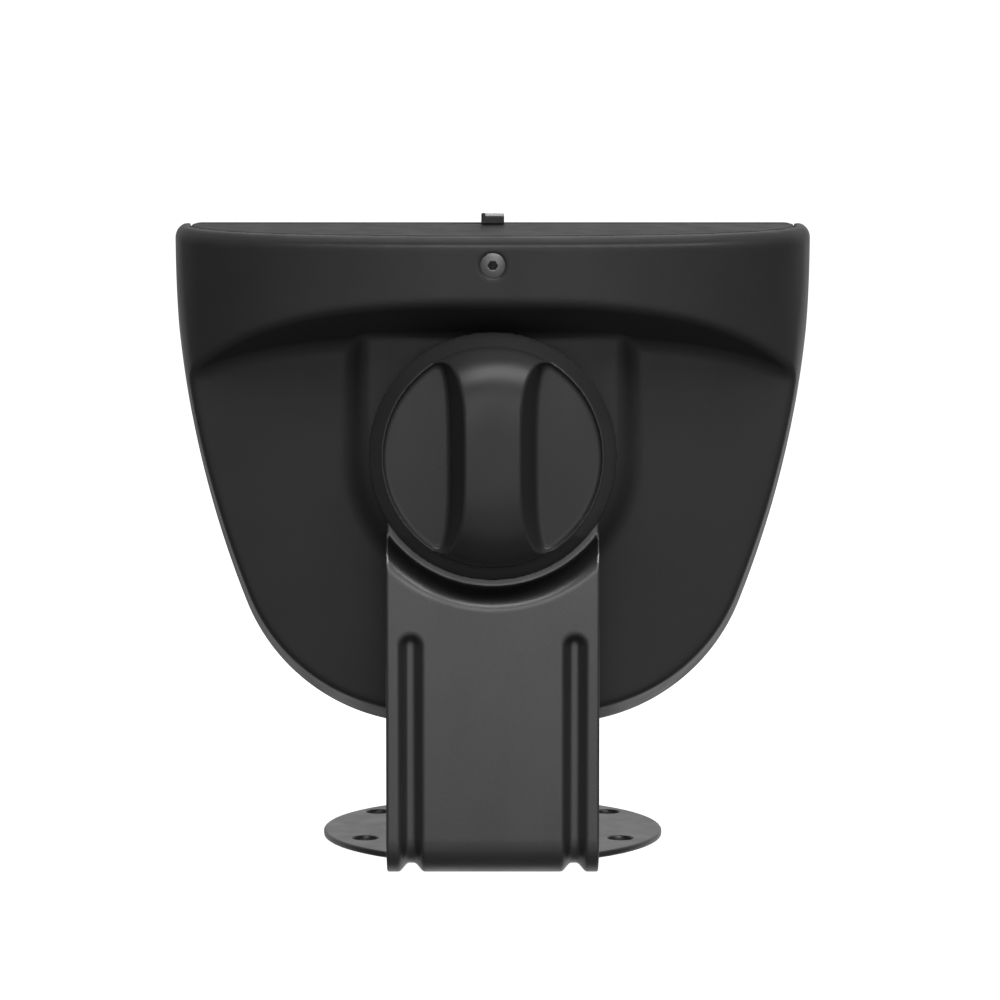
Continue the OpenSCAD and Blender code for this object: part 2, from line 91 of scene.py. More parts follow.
def meet(a, b, r):
    """Where both are solid, with the edge between them rounded to r."""
    return np.minimum(-r, np.maximum(a, b)) + np.hypot(np.maximum(a + r, 0), np.maximum(b + r, 0))


def join(a, b, r):
    """Where either is solid, with the corner between them filled to r."""
    return -meet(-a, -b, r)


def cut(a, b, r):
    """a without b, with the new edge rounded to r."""
    return meet(a, -b, r)


OUTSIDE = 50  # adding this to a field leaves nothing solid


def emptied(a, where):
    """a with nothing solid left where the condition holds."""
    return a + OUTSIDE * where


def slack(t, w):
    """0 below 0 and t above it, turning smoothly within w of 0."""
    return np.where(t < -w, 0, np.where(t < w, (t + w) ** 2 / (4 * w), t))


def brick(x, y, z, low, high, r):
    """A box between two corners, its edges rounded to r."""
    sides = [np.abs(p - (a + b) / 2) - (b - a) / 2 for p, a, b in zip((x, y, z), low, high)]
    return meet(meet(sides[0], sides[1], r), sides[2], r)


def rod(x, y, z, centre_z, y0, y1, r, edge):
    """A round bar along Y, in the middle of the head's width."""
    return meet(np.hypot(x, z - centre_z) - r, np.abs(y - (y0 + y1) / 2) - (y1 - y0) / 2, edge)


# the head's outline: a long side arc that runs into a corner arc
SIDE_R, SIDE_Z = 261.0, 160.0
CORNER_R, CORNER_FROM = 49.5, math.radians(21.4)
CORNER_X = HALF_W - SIDE_R + (SIDE_R - CORNER_R) * math.cos(CORNER_FROM)
CORNER_Z = SIDE_Z - (SIDE_R - CORNER_R) * math.sin(CORNER_FROM)
HEAD_BOTTOM = CORNER_Z - CORNER_R
# how far the side and the bottom lean in, over a run that starts behind the rim; the height FIXED_DOWN
# below the top keeps its place
SIDE_DRAFT, BOTTOM_DRAFT = 3.0, 3.8
DRAFT_FROM, DRAFT_RUN, FIXED_DOWN = 4, 20, 0.9
# the walls' plan, the top's slope, and the bevel round the top, narrower and deeper at its ends
PLAN_POWER, PLAN_FROM = 2.4, 2
TOP_TILT = math.radians(7.4)
BEVEL_W, BEVEL_NARROWS, BEVEL_H, BEVEL_DEEPENS = 3.8, 1.8, 1.25, 1.05
# the lower panel, crowned and leaning, and the hood's lip over it, drooping to its ends
CROWN_R, PANEL_LEAN, PANEL_PIVOT = 690.0, math.radians(2), 8
SOFFIT_TILT = math.radians(24.8)
LIP_Z, LIP_DROOP, LIP_HALF = 140.1, 5.9, 72


def outline(x, z):
    """The head seen from behind."""
    x = np.abs(x)
    dx, dz = x - CORNER_X, z - CORNER_Z
    corner = np.hypot(dx, dz) - CORNER_R
    side = np.hypot(x - (HALF_W - SIDE_R), z - SIDE_Z) - SIDE_R
    low = dz < -dx * math.tan(CORNER_FROM)
    return np.where(dx < 0, np.maximum(HEAD_BOTTOM - z, side), np.where(low, corner, side))


def plan(x, y, half, back):
    """Walls of a plan that is straight at the front and bulges to the back."""
    x, y0 = np.abs(x), RIM_Y + PLAN_FROM
    u = np.maximum(x, 0.5) / half
    v = np.maximum(y - y0, 1e-3) / (back - y0)
    s = (u**PLAN_POWER + v**PLAN_POWER) ** (1 / PLAN_POWER)
    u_slope = u ** (PLAN_POWER - 1) / half
    v_slope = v ** (PLAN_POWER - 1) / (back - y0)
    slope = s ** (1 - PLAN_POWER) * np.hypot(u_slope, v_slope)
    return np.where(y < y0, x - half, (s - 1) / slope)


def top_plane(y, z, drop=0.0):
    """Everything below the head's sloping top, or below a plane that much lower."""
    return (z - TOP_Z + drop + (y - FRONT_Y) * math.tan(TOP_TILT)) * math.cos(TOP_TILT)


def head(x, y, z):
    """Outer form of the head, without the pad."""
    run = slack(y - RIM_Y - DRAFT_FROM, 2.5) / DRAFT_RUN
    draft = SIDE_DRAFT * run
    rise = BOTTOM_DRAFT * run
    fixed_z = TOP_Z - FIXED_DOWN
    tall = fixed_z - HEAD_BOTTOM
    z_low = (z - rise * fixed_z / tall) / (1 - rise / tall)
    over_pivot = z - LIP_Z + PANEL_PIVOT
    lean_y = (y - PANEL_Y + CROWN_R) * math.cos(PANEL_LEAN) - over_pivot * math.sin(PANEL_LEAN)
    low = meet(outline(x, z_low) + draft, np.hypot(x, lean_y) - CROWN_R, 1.3)
    lip = LIP_Z - LIP_DROOP * (np.abs(x) / LIP_HALF) ** 4 - (HOOD_Y - y) * math.tan(SOFFIT_TILT)
    side = outline(x, z) + draft
    hood = meet(side, (lip - z) * math.cos(SOFFIT_TILT), 1.6)
    walls = plan(x, y, HALF_W, HOOD_Y)
    both = meet(np.maximum(join(low, hood, 2.2), side), walls, 1.6)
    fall = top_plane(y, z) / math.cos(TOP_TILT)
    corner = np.clip(np.abs(x) / HALF_W, 0, 1) ** 3
    wide = BEVEL_W - BEVEL_NARROWS * corner
    deep = BEVEL_H + BEVEL_DEEPENS * corner
    bevel = ((walls + wide) * deep + fall * wide) / np.hypot(deep, wide)
    return meet(meet(both, bevel, 1.0), top_plane(y, z), 0.6)


# the pad narrows by PAD_IN on each side over its height
PAD_HALF, PAD_IN, PAD_TALL, PAD_SLOPE = 35.4, 3.6, 3.9, 0.735


def pad(x, y, z):
    """Raised pad round the clamp, with sloping sides."""
    x, dz = np.abs(x), z - KNOB_Z
    half = PAD_HALF - PAD_IN * np.clip((y - PAD_Y + PAD_TALL) / PAD_TALL, -1, 1.5)
    side = (np.where(dz < 0, np.hypot(x, dz), x) - half) * PAD_SLOPE
    return meet(meet(side, y - PAD_Y, 1.3), z - LIP_Z + 2, 0.5)


# the clamp's ball seat: its centre behind the arm, and the radii of its three parts
SEAT_BACK, SHELL_SEAT_R, BOWL_R, KNOB_SEAT_R = 13.7, 30.2, 26.0, 24.2
SEAT_Y = ARM_Y + SEAT_BACK


def seat_ball(x, y, z, r):
    return np.sqrt(x**2 + (y - SEAT_Y) ** 2 + (z - KNOB_Z) ** 2) - r


# shell: the clamp's boss inside the pad, the cover's seat and opening, the screw's holes, the power inlet
TOP_WALL = 4.0
BOSS_Y0, BOSS_Y1, BOSS_R, INSERT_R, STUD_R = 37.5, 49, 21, 6.0, 4.6
LID_HALF, LID_BACK, LID_T, LID_GAP, SEAT_T = 76.4, 57.2, 2.0, 0.35, 2.1
OPENING_HALF, OPENING_BACK = 74.0, 54.2
SINK_DEEP, SINK_R, SCREW_HOLE_R, SCREW_HOLE_DEEP = 1.1, 2.9, 1.7, 9
INLET_HALF, INLET_BACK, INLET_THICK, INLET_TOP = 4.9, 9.4, 2, 45


def shell(x, y, z):
    form = head(x, y, z)
    hollow = np.maximum(form + WALL, top_plane(y, z, TOP_WALL))
    outside = join(form, pad(x, y, z), 1.2)
    skin = cut(np.maximum(outside, RIM_Y - y), hollow, 0.4)
    skin = join(skin, rod(x, y, z, KNOB_Z, BOSS_Y0, BOSS_Y1, BOSS_R, 0.5), 0.6)
    skin = cut(skin, seat_ball(x, y, z, SHELL_SEAT_R), 0.6)
    skin = cut(skin, np.hypot(x, z - KNOB_Z) - np.where(y > insert_low[1], INSERT_R, STUD_R), 0.3)
    seat = np.maximum(-top_plane(y, z, SEAT_T), RIM_Y + 0.3 - y)
    seat = np.maximum(plan(x, y, LID_HALF + LID_GAP, LID_BACK + LID_GAP), seat)
    opening = np.maximum(plan(x, y, OPENING_HALF, OPENING_BACK), SCREW_Z - z)
    skin = cut(skin, np.minimum(seat, opening), 0.3)
    skin = cut(skin, rod(x, y, z, SCREW_Z, HOOD_Y - SINK_DEEP, HOOD_Y + 9, SINK_R, 0.1), 0.1)
    screw_hole = emptied(np.hypot(x, z - SCREW_Z) - SCREW_HOLE_R, y < HOOD_Y - SCREW_HOLE_DEEP)
    skin = cut(skin, screw_hole, 0.2)
    inlet = meet(np.abs(x) - INLET_HALF, np.abs(y - RIM_Y - INLET_BACK) - INLET_THICK, 1.9)
    return cut(skin, emptied(inlet, z > INLET_TOP), 0.5)


# cover: the shutter's slot, and the lug that takes the screw
SLOT_X, SLOT_HALF, SLOT_Y, SLOT_THICK = 4, 6.4, 25.35, 0.75
LUG_HALF, LUG_Y0, LUG_Y1, LUG_DOWN, LUG_UP = 4.5, 50, 53.6, 3.4, 2.6


def lid(x, y, z):
    walls = np.maximum(plan(x, y, LID_HALF, LID_BACK), RIM_Y + 0.6 - y)
    slabs = meet(top_plane(y, z), -top_plane(y, z, LID_T), 0.3)
    plate = meet(slabs, walls, 0.45)
    slot = meet(np.abs(x - SLOT_X) - SLOT_HALF, np.abs(y - SLOT_Y) - SLOT_THICK, 0.6)
    foot = (-LUG_HALF, LUG_Y0, SCREW_Z - LUG_DOWN)
    lug = np.minimum(
        brick(x, y, z, foot, (LUG_HALF, LUG_Y1, TOP_Z - 5), 0.4),
        brick(x, y, z, foot, (LUG_HALF, HOOD_Y - 5.5, SCREW_Z + LUG_UP), 0.4))
    return cut(join(plate, lug, 0.3), emptied(slot, z < TOP_Z - 6), 0.3)


# clamp knob: a conical rim round a domed grip between two scoops; a slope's pair is its cosine and sine
KNOB_R, SCOOP_R, CREST_Y = 30.7, 26.5, knob_high[1]
RIM_BACK, RIM_TOP, SCOOP_Y = 60.5, 65.6, 64.6
SIDE_SLOPE, CONE_SLOPE = (0.85, 0.526), (0.78, 0.626)
DOME_H, DOME_POWER = 7.9, 5.0
GRIP_HALF, FLANK, FLARE, FLARE_Z = 6.7, 3.7, 1.6, 22
KNOB_BOSS_R, KNOB_BOSS_Y = 12.5, 61.5


def knob(x, y, z):
    dz = z - KNOB_Z
    r = np.hypot(x, dz)
    side = (r - KNOB_R) * SIDE_SLOPE[0] + (y - RIM_BACK) * SIDE_SLOPE[1]
    cone = (r - SCOOP_R - 0.4) * CONE_SLOPE[0] + (y - RIM_TOP) * CONE_SLOPE[1]
    body = meet(meet(r - KNOB_R, side, 0.8), RIM_BACK - y, 0.4)
    body = meet(body, meet(cone, y - RIM_TOP, 0.3), 0.8)
    rim = np.clip(r / SCOOP_R, 0, 1.2)
    dome = y - CREST_Y + DOME_H * rim**DOME_POWER
    dome = dome / np.hypot(1, DOME_POWER * DOME_H / SCOOP_R * rim ** (DOME_POWER - 1))
    body = join(body, np.maximum(meet(r - SCOOP_R - 0.2, dome, 0.6), RIM_BACK + 1 - y), 0.3)
    run = FLANK / (CREST_Y - SCOOP_Y)
    waist = GRIP_HALF + FLARE * (dz / FLARE_Z) ** 4
    flare_slope = 4 * FLARE / FLARE_Z * (np.abs(dz) / FLARE_Z) ** 3
    flank = (waist + (CREST_Y - y) * run - np.abs(x)) / np.hypot(1, np.hypot(run, flare_slope))
    scoop = meet(meet(r - SCOOP_R, flank, 2.5), SCOOP_Y - y, 0.7)
    body = cut(body, scoop, 0.35)
    boss = meet(np.maximum(r - KNOB_BOSS_R, y - KNOB_BOSS_Y), seat_ball(x, y, z, KNOB_SEAT_R), 0.5)
    return join(body, boss, 0.4)


# bracket: one pressed sheet, followed from the foot round the bend and up the arm; above ALL_ARM it is
# arm at any depth
BEND_R, ARM_HALF, ARM_TOP_R, DISC_R = 9.5, 26.1, 25, 45.0
ALL_ARM, NECK_DOWN, STUD_HOLE_R = 30, 8.4, 8.3
DISH_DEEP, DISH_R, DISH_SLOPE, BOWL_EDGE = 5.5, 35.7, 1.7, 24
RIB_X, RIB_HALF, RIB_FLAT, RIB_DEEP, RIB_TOP, RIB_FOOT = 20.1, 3.3, 0.6, 2.2, 57.2, 36.5
HOLES, HOLE_R = [(31.5, -23.0), (33.3, 16.4)], 3.3
CLEAR = 9  # a distance at which a hole cuts nothing


def pressed(r):
    """Depth of the dish and of the ball bowl inside it, at a distance r from the knob's axis."""
    wall = slack((DISH_R - r) * DISH_SLOPE, 3.6)
    floor = DISH_DEEP - slack(DISH_DEEP - wall, 1.2)
    bowl = np.sqrt(np.maximum(BOWL_R**2 - r**2, 1)) - SEAT_BACK
    return floor + slack(np.where(r < BOWL_EDGE, bowl, -20) - floor, 0.5)


def bracket(x, y, z):
    up = (z >= BEND_R) & ((y >= ARM_Y - BEND_R) | (z > ALL_ARM))
    bend = (y > ARM_Y - BEND_R) & ~up
    turn = BEND_R - np.hypot(y - ARM_Y + BEND_R, z - BEND_R)
    depth = np.where(up, ARM_Y - y, np.where(bend, turn, z))
    r = np.hypot(x, z - KNOB_Z)
    dish = np.where(up, pressed(r), 0)
    dish_slope = np.where(up, (pressed(r + 0.05) - pressed(r - 0.05)) * 10, 0)
    past = np.where(up, np.maximum(z - RIB_TOP, 0), np.where(bend, 0, np.maximum(RIB_FOOT - y, 0)))
    across = np.hypot(np.abs(x) - RIB_X, past)
    t = np.clip((RIB_HALF - across) / (RIB_HALF - RIB_FLAT), 0, 1)
    rib = RIB_DEEP * t * t * (3 - 2 * t)
    rib_slope = RIB_DEEP * 6 * t * (1 - t) / (RIB_HALF - RIB_FLAT)
    steep = 1 / np.sqrt(1 + dish_slope**2 + rib_slope**2)
    sheet = np.abs((depth - dish - rib) * steep - SHEET / 2) - SHEET / 2
    side = np.abs(x) - ARM_HALF
    neck = join(meet(side, z - KNOB_Z + NECK_DOWN, 2), r - ARM_TOP_R, 3)
    foot = join(np.hypot(x, y) - DISC_R, np.maximum(side, -y), 1.5)
    plate = meet(sheet, np.where(up, neck, np.where(bend, side, foot)), 0.4)
    plate = cut(plate, np.where(up, r - STUD_HOLE_R, CLEAR), 0.3)
    for hx, hy in HOLES:
        hole = np.hypot(np.abs(x) - hx, y - hy) - HOLE_R
        plate = cut(plate, np.where(up | bend, CLEAR, hole), 0.35)
    return plate


# top screw: a crowned head and its shank, with a hexagonal socket drilled to a cone
SCREW_HEAD_R, SCREW_HEAD_T, SCREW_CROWN, SHANK_R, SHANK_END = 3.2, 1.4, 9, 1.25, 65.5
HEX_HALF, HEX_COS, HEX_SIN = 1.05, 0.866, 0.5
DRILL_R, DRILL_DEEP, DRILL_RUN, DRILL_COS = 1.2, 1, 1.4, 0.58


def screw(x, y, z):
    dz = z - SCREW_Z
    r = np.hypot(x, dz)
    crown = np.sqrt(r**2 + (y - screw_high[1] + SCREW_CROWN) ** 2) - SCREW_CROWN
    body = meet(meet(r - SCREW_HEAD_R, screw_high[1] - SCREW_HEAD_T - y, 0.1), crown, 0.3)
    body = join(body, meet(r - SHANK_R, np.maximum(screw_low[1] - y, y - SHANK_END), 0.2), 0.1)
    hexagon = np.maximum(np.abs(dz), np.abs(x) * HEX_COS + np.abs(dz) * HEX_SIN) - HEX_HALF
    drilled = (screw_high[1] - DRILL_DEEP - DRILL_RUN * (DRILL_R - r) - y) * DRILL_COS
    return cut(body, meet(hexagon, drilled, 0.1), 0.08)


# shutter slider: the tab on top, the stem through the slot, and the blade that covers the lens
TAB_HALF, STEM_HALF, BLADE_HALF = 2.9, 2, 5
BLADE_Y0, BLADE_Y1, BLADE_TOP = 25, 25.7, 158.6
STEM_LOW, STEM_TOP, TAB_GAP = 158, 162.2, 0.2
RIDGE_DEEP, RIDGE_STEP, RIDGE_TALL = 0.06, 0.8, 0.3


def slider(x, y, z):
    tab_low = (-TAB_HALF, slider_low[1], TOP_Z - 2)
    tab = brick(x, y, z, tab_low, (TAB_HALF, slider_high[1], slider_high[2]), 0.35)
    tab = meet(tab, -top_plane(y, z, -TAB_GAP), 0.2)
    stem = brick(x, y, z, (-STEM_HALF, BLADE_Y0, STEM_LOW), (STEM_HALF, BLADE_Y1, STEM_TOP), 0.15)
    blade_low = (-BLADE_HALF, BLADE_Y0, slider_low[2])
    blade = brick(x, y, z, blade_low, (BLADE_HALF, BLADE_Y1, BLADE_TOP), 0.2)
    body = join(join(tab, stem, 0.15), blade, 0.15)
    recess = brick(x, y, z, cap_low - [9, 0.05, 0.02], cap_high + [0.05, 9, 9], 0.05)
    return cut(body, recess, 0.1)


def slider_cap(x, y, z):
    """The cap's bar, ridged across its top."""
    bar = brick(x, y, z, cap_low + [0.05, 0, 0], cap_high - [0, 0.05, 0], 0.2)
    ridges = RIDGE_DEEP * np.cos((x - cap_low[0]) * 2 * math.pi / RIDGE_STEP)
    return bar + np.where(z > cap_high[2] - RIDGE_TALL, RIDGE_DEEP + ridges, 0)


# ---- meshes from the fields ----
BLOCK = 16  # voxels along a block's side
BLOCK_REACH = 0.87 * 1.6  # a block's half diagonal over its side, with room for a field that overstates
PASSES = 3  # of drawing the points onto the surface


def mesh_from(name, field, low, high, voxel):
    """Meshes a field inside a box, then draws every point onto the field's own surface."""
    far = 3 * voxel
    low = np.array(low) - far
    count = np.ceil((np.array(high) + far - low) / voxel).astype(int)
    grid = openvdb.FloatGrid(far)
    starts = [np.arange(0, n, BLOCK) for n in count]
    starts = np.stack(np.meshgrid(*starts, indexing="ij"), -1).reshape(-1, 3)
    centre = field(*(low + (starts + BLOCK / 2) * voxel).T)
    near = np.abs(centre) < BLOCK * voxel * BLOCK_REACH + far
    for start, is_near, is_in in zip(starts.tolist(), near, centre < 0):
        if is_near:
            axes = [low[k] + (start[k] + np.arange(BLOCK)) * voxel for k in range(3)]
            x, y, z = np.meshgrid(*axes, indexing="ij")
            block = np.clip(field(x, y, z), -far, far).astype(np.float32)
            grid.copyFromArray(block, ijk=tuple(start))
        elif is_in:
            grid.fill(tuple(start), tuple(s + BLOCK - 1 for s in start), -far, False)
    points, quads = grid.convertToQuads(0)
    points = points.astype(float) * voxel + low
    step = 0.02 * voxel
    for _ in range(PASSES):
        value = field(*points.T)
        slope = np.empty_like(points)
        for k in range(3):
            shift = np.zeros(3)
            shift[k] = step
            slope[:, k] = (field(*(points + shift).T) - field(*(points - shift).T)) / (2 * step)
        length = np.maximum((slope**2).sum(1), 0.2)
        move = slope * (value / length)[:, None]
        points -= np.clip(move, -0.5 * voxel, 0.5 * voxel)
    corners = points[quads[:, :3].astype(int)]
    volume = np.einsum("ij,ij->i", corners[:, 0], np.cross(corners[:, 1], corners[:, 2])).sum()
    if volume < 0:
        quads = quads[:, ::-1]
    return make_object(name, points / MM, quads)


def make_object(name, points, quads):
    """A smooth-shaded piece from points in metres and rows of four indices."""
    mesh = bpy.data.meshes.new(name)
    mesh.vertices.add(len(points))
    mesh.vertices.foreach_set("co", points.astype(np.float32).ravel())
    mesh.loops.add(4 * len(quads))
    mesh.loops.foreach_set("vertex_index", quads.astype(np.int32).ravel())
    mesh.polygons.add(len(quads))
    mesh.polygons.foreach_set("loop_start", np.arange(0, 4 * len(quads), 4, dtype=np.int32))
    mesh.polygons.foreach_set("use_smooth", np.ones(len(quads), bool))
    mesh.update(calc_edges=True)
    mesh.validate()
    piece = bpy.data.objects.new(name, mesh)
    bpy.context.scene.collection.objects.link(piece)
    return piece


# name, field, box, voxel in millimetres, CAD node it stands for, body, slot
PIECES = [
    ("shell_skin", shell, shell_low, shell_high, 0.75, "rear_shell", "head", "shell"),
    ("lid_plate", lid, lid_low, lid_high, 0.5, "top_cover", "head", "lid"),
    ("knob_body", knob, knob_low, knob_high, 0.5, "knob", "knob", "knob"),
    ("bracket_sheet", bracket, arm_low, arm_high, 0.5, "bracket", "bracket", "bracket"),
    ("lid_screw", screw, screw_low, screw_high, 0.15, "top_screw", "head", "screw_steel"),
    ("shutter_tab", slider, slider_low, slider_high, 0.15, "shutter_slider", "shutter", "slider"),
    ("shutter_cap_painted_highlight", slider_cap, cap_low, cap_high, 0.12, "slider_cap", "shutter", "slider_cap"),
]


# ---- finishes, made of nodes ----

class Graph:
    """Adds nodes to a tree, each fed by values or by other nodes' outputs."""

    def __init__(self, tree):
        self.tree = tree

    def node(self, kind, inputs=(), **settings):
        made = self.tree.nodes.new("ShaderNode" + kind)
        for name, value in settings.items():
            setattr(made, name, value)
        for key, value in dict(inputs).items():
            self.feed(made.inputs[key], value)
        return made

    def feed(self, socket, value):
        if isinstance(value, bpy.types.NodeSocket):
            self.tree.links.new(value, socket)
        else:
            socket.default_value = value

    def ramp(self, source, stops, shape="EASE"):
        """Turns 0 to 1 into greys, by (position, grey) stops."""
        made = self.node("ValToRGB", {"Fac": source})
        made.color_ramp.interpolation = shape
        while len(made.color_ramp.elements) < len(stops):
            made.color_ramp.elements.new(0.5)
        for element, (position, grey) in zip(made.color_ramp.elements, stops):
            element.position, element.color = position, (grey, grey, grey, 1)
        return made.outputs[0]

    def math(self, operation, *values):
        return self.node("Math", dict(enumerate(values)), operation=operation).outputs[0]


def shade(colour, factor):
    """A colour made lighter or darker, with its alpha."""
    return tuple(min(channel * factor, 1) for channel in colour) + (1,)


WAVES = 3.2  # bands in one unit of a wave texture at scale 1


class Finish(Graph):
    """One material. Sizes of its patterns are in millimetres."""

    def __init__(self, name, **sockets):
        self.material = bpy.data.materials.new(name)
        self.material.use_nodes = True
        super().__init__(self.material.node_tree)
        self.shader = self.tree.nodes["Principled BSDF"]
        for key, value in sockets.items():
            self.shader.inputs[key.replace("_", " ")].default_value = value
        self.place = self.node("TexCoord").outputs["Object"]
        self.relief = None

    def stretched(self, scale, shift=(0, 0, 0)):
        return self.node("Mapping", {"Vector": self.place, "Scale": scale, "Location": shift}).outputs[0]

    def noise(self, size, detail=2.0, stretch=None):
        place = self.stretched(stretch) if stretch else self.place
        return self.node("TexNoise", {"Vector": place, "Scale": MM / size, "Detail": detail}).outputs[0]

    def bands(self, size, axis, wobble=0.0):
        inputs = {"Vector": self.place, "Scale": MM / size / WAVES, "Distortion": wobble}
        return self.node("TexWave", inputs, bands_direction=axis).outputs[1]

    def rings(self, size, centre):
        place = self.stretched((1, 1, 1), tuple(-c / MM for c in centre))
        inputs = {"Vector": place, "Scale": MM / size / WAVES, "Distortion": 0.6, "Detail Scale": 2.0}
        return self.node("TexWave", inputs, wave_type="RINGS", rings_direction="Y").outputs[1]

    def cells(self, size, feature="F1"):
        inputs = {"Vector": self.place, "Scale": MM / size}
        return self.node("TexVoronoi", inputs, feature=feature).outputs["Distance"]

    def spread(self, source, low, high):
        """Maps a pattern's usual range onto low to high."""
        inputs = {"Value": source, "From Min": 0.3, "From Max": 0.7, "To Min": low, "To Max": high}
        return self.node("MapRange", inputs).outputs[0]

    def blend(self, factor, a, b):
        return self.node("Mix", {0: factor, 6: a, 7: b}, data_type="RGBA").outputs[2]

    def edges(self, amount):
        """Worn edges, in broken patches."""
        bare = self.ramp(self.node("NewGeometry").outputs["Pointiness"], [(0.51, 0), (0.6, 1)])
        patch = self.spread(self.noise(3.5, 4), 0.25 * amount, amount)
        return self.math("MULTIPLY", bare, patch)

    def emboss(self, pattern, depth):
        inputs = {"Height": pattern, "Distance": depth / MM, "Strength": 1.0}
        if self.relief:
            inputs["Normal"] = self.relief
        self.relief = self.node("Bump", inputs).outputs[0]

    def done(self, colour, rough):
        self.feed(self.shader.inputs["Base Color"], colour)
        self.feed(self.shader.inputs["Roughness"], rough)
        self.feed(self.shader.inputs["Normal"], self.relief)
        return self.material


def plastic(name, colour, rough, specular=0.4, grain=0.3, depth=0.006, wear=0.5, **sockets):
    """Moulded plastic: a fine spark texture, flow clouds, and rubbed edges."""
    finish = Finish(name, Specular_IOR_Level=specular, **sockets)
    speck = finish.noise(grain, 2)
    cloud = finish.noise(22, 3)
    base = finish.blend(finish.spread(cloud, 0, 1), shade(colour, 0.93), shade(colour, 1.07))
    base = finish.blend(finish.spread(speck, 0, 0.3), base, shade(colour, 1.25))
    base = finish.blend(finish.edges(wear), base, shade(colour, 2.2))
    scuff = finish.noise(7, 5, (1, 1, 0.3))
    finish.emboss(cloud, 0.02)
    finish.emboss(speck, depth)
    return finish.done(base, finish.spread(scuff, rough - 0.04, rough + 0.05))


def coated_metal(name, colour, rough, metal):
    """Painted sheet: orange peel, darker and lighter specks, and edges rubbed to the steel."""
    finish = Finish(name, Metallic=metal)
    peel = finish.noise(1.1, 2)
    speck = finish.noise(0.28, 1)
    cloud = finish.noise(30, 3)
    base = finish.blend(finish.spread(cloud, 0, 1), shade(colour, 0.94), shade(colour, 1.06))
    base = finish.blend(finish.spread(speck, 0, 0.35), base, shade(colour, 1.3))
    base = finish.blend(finish.edges(0.5), base, shade(colour, 1.8))
    scuff = finish.noise(9, 5, (1, 1, 0.2))
    finish.emboss(peel, 0.012)
    finish.emboss(speck, 0.004)
    return finish.done(base, finish.spread(scuff, rough - 0.05, rough + 0.05))


def bare_metal(name, colour, rough, metal=1.0, grain=(0.06, 1, 1), centre=None):
    """Brushed metal, or turned metal where a centre is given."""
    finish = Finish(name, Metallic=metal)
    marks = finish.rings(0.3, centre) if centre is not None else finish.noise(0.35, 4, grain)
    stain = finish.noise(4, 4)
    base = finish.blend(finish.spread(stain, 0, 1), shade(colour, 0.82), shade(colour, 1.08))
    base = finish.blend(finish.edges(0.6), base, shade(colour, 1.4))
    finish.emboss(marks, 0.004)
    finish.emboss(stain, 0.01)
    return finish.done(base, finish.spread(marks, rough - 0.07, rough + 0.09))


def rubbery(name, colour, rough, pore=0.5, depth=0.05):
    """Rubber, foam or felt: open pores over soft clouds."""
    finish = Finish(name, Specular_IOR_Level=0.3, Sheen_Weight=0.15)
    pores = finish.cells(pore)
    cloud = finish.noise(5, 4)
    base = finish.blend(pores, shade(colour, 0.6), shade(colour, 1.25))
    base = finish.blend(finish.spread(cloud, 0, 0.4), base, shade(colour, 1.5))
    finish.emboss(pores, depth)
    return finish.done(base, finish.spread(cloud, rough - 0.08, rough + 0.06))


def glass(name, colour, rough, tint):
    """Dark gloss glass with a smear of wiping on it and a faint coating."""
    finish = Finish(name, Specular_IOR_Level=0.5)
    smear = finish.noise(16, 5, (1, 1, 0.35))
    dust = finish.cells(1.7)
    base = finish.blend(finish.spread(smear, 0, 1), shade(colour, 0.85), shade(tint, 1.0))
    base = finish.blend(finish.ramp(dust, [(0.02, 0.12), (0.06, 0)]), base, shade(tint, 6))
    finish.emboss(smear, 0.003)
    return finish.done(base, finish.spread(smear, rough, rough + 0.09))


def circuit(name, mask, track, pad):
    """Solder mask over copper tracks, with plated pads."""
    finish = Finish(name, Specular_IOR_Level=0.5, Coat_Weight=0.3)
    inputs = {"Vector": finish.stretched((1, 1, 1)), "Scale": 60.0, "Mortar Size": 0.06}
    lines = finish.node("TexBrick", inputs)
    wiring = finish.ramp(finish.bands(1.3, "X", 6.0), [(0.55, 0), (0.65, 1)])
    dots = finish.ramp(finish.cells(2.4), [(0.16, 1), (0.2, 0)])
    base = finish.blend(lines.outputs["Fac"], shade(mask, 1.0), shade(track, 0.8))
    base = finish.blend(wiring, base, shade(track, 1.0))
    base = finish.blend(dots, base, shade(pad, 1.0))
    finish.emboss(wiring, 0.03)
    finish.emboss(finish.noise(0.6), 0.01)
    return finish.done(base, finish.spread(finish.noise(5), 0.25, 0.4))


def flat_cable(name, film, copper):
    """Copper lanes under amber film."""
    finish = Finish(name, Specular_IOR_Level=0.5, Coat_Weight=0.5)
    lanes = finish.ramp(finish.bands(0.9, "X"), [(0.4, 0), (0.6, 1)])
    cloud = finish.noise(3, 3)
    base = finish.blend(lanes, shade(film, 0.9), shade(copper, 1.0))
    base = finish.blend(finish.spread(cloud, 0, 0.25), base, shade(film, 0.6))
    finish.emboss(lanes, 0.03)
    return finish.done(base, finish.spread(cloud, 0.22, 0.36))


def display(name, colour):
    """The dark face of a screen that is off, with its fine grid of dots."""
    finish = Finish(name, Specular_IOR_Level=0.5)
    grid = finish.math("MULTIPLY", finish.bands(0.4, "X"), finish.bands(0.4, "Z"))
    cloud = finish.noise(30, 2)
    base = finish.blend(grid, shade(colour, 0.6), shade(colour, 1.6))
    base = finish.blend(finish.spread(cloud, 0, 0.3), base, shade(colour, 1.2))
    finish.emboss(grid, 0.01)
    return finish.done(base, finish.spread(cloud, 0.2, 0.3))


